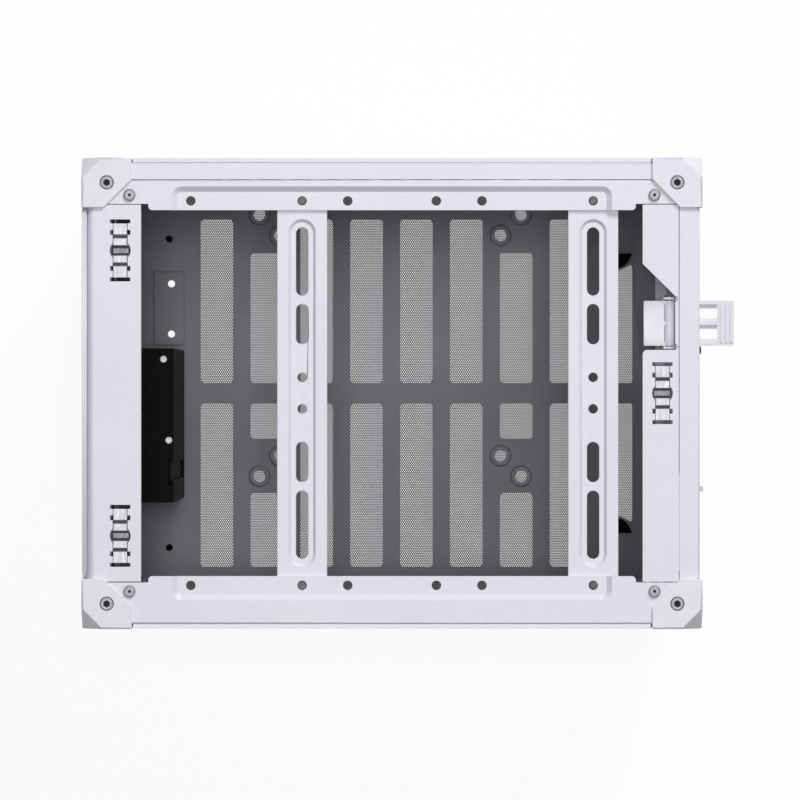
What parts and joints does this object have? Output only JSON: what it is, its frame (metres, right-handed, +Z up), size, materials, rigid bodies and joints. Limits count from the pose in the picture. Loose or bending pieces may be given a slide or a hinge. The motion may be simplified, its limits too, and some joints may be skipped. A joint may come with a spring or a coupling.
{
  "type": "computer case",
  "caption": "Small tower computer case with its top cover off, pressed steel frame, cast corner blocks, slotted fan rails, card latch and power button.",
  "frame": {"origin": "on the ground, in the middle of the whole footprint", "axes": "+Z up, the front faces -Y, the board side is +X"},
  "size_m": [0.2016, 0.2898, 0.3249],
  "materials": {
    "white_casting": "satin powder coat on cast metal",
    "white_paint": "satin powder coat on folded steel",
    "white_plastic": "fine matte moulded",
    "dark_paint": "matte powder coat",
    "black_paint": "matte powder coat",
    "spring_steel": "plain, lightly polished",
    "zinc": "zinc plated",
    "brass": "turned",
    "rubber": "matte",
    "black_plastic": "fine matte moulded",
    "filter_cloth": "woven",
    "foot_plastic": "smooth moulded"
  },
  "bodies": {
    "case": {"audio_jack": "black_plastic", "board_standoffs": "brass", "card_rail": "white_paint", "card_screws": "zinc", "clip_front_left": "spring_steel", "clip_front_right": "spring_steel", "clip_rear": "spring_steel", "corner_lower_front_left": "white_casting", "corner_lower_front_right": "white_casting", "corner_lower_rear_left": "white_casting", "corner_lower_rear_right": "white_casting", "corner_screws": "zinc", "corner_upper_front_left": "white_casting", "corner_upper_front_right": "white_casting", "corner_upper_rear_left": "white_casting", "corner_upper_rear_right": "white_casting", "drive_cage": "black_paint", "dust_filter_frame": "black_plastic", "dust_filter_mesh": "filter_cloth", "fan_rail_front": "white_paint", "fan_rail_rear": "white_paint", "feet": "foot_plastic", "flange_screws": "zinc", "floor_bumpers": "rubber", "floor_panel": "dark_paint", "foot_pads": "rubber", "front_panel": "white_paint", "io_module": "black_plastic", "latch_bracket": "white_paint", "latch_pin": "zinc", "lower_beam_front": "white_paint", "lower_beam_left": "white_paint", "lower_beam_rear": "white_paint", "lower_beam_right": "white_paint", "motherboard_tray": "white_paint", "post_front_left": "white_paint", "post_front_right": "white_paint", "post_rear_left": "white_paint", "post_rear_right": "white_paint", "power_inlet": "black_plastic", "rail_screws": "zinc", "rear_panel": "white_paint", "side_panel_left": "white_paint", "side_panel_right": "white_paint", "slot_cover_1": "white_paint", "slot_cover_2": "white_paint", "slot_cover_3": "white_paint", "slot_cover_4": "white_paint", "thumb_screw": "black_paint", "top_flange_front": "white_paint", "top_flange_left": "white_paint", "top_flange_rear": "white_paint", "top_flange_right": "white_paint", "top_rail_left": "white_paint", "usb_a_port": "zinc", "usb_c_port": "zinc"},
    "latch": {"card_latch": "white_plastic"},
    "button": {"power_button": "white_plastic"}
  },
  "joints": [
    {"name": "latch_hinge", "type": "hinge", "parent": "case", "child": "latch", "pos_m": [-0.0321, 0.1153, 0.1232], "axis": [1, 0, 0], "range_deg": [-30, 0]},
    {"name": "button_travel", "type": "slide", "parent": "case", "child": "button", "axis": [0, 1, 0], "range_m": [0, 0.0012], "stiffness_N_per_m": 400}
  ]
}
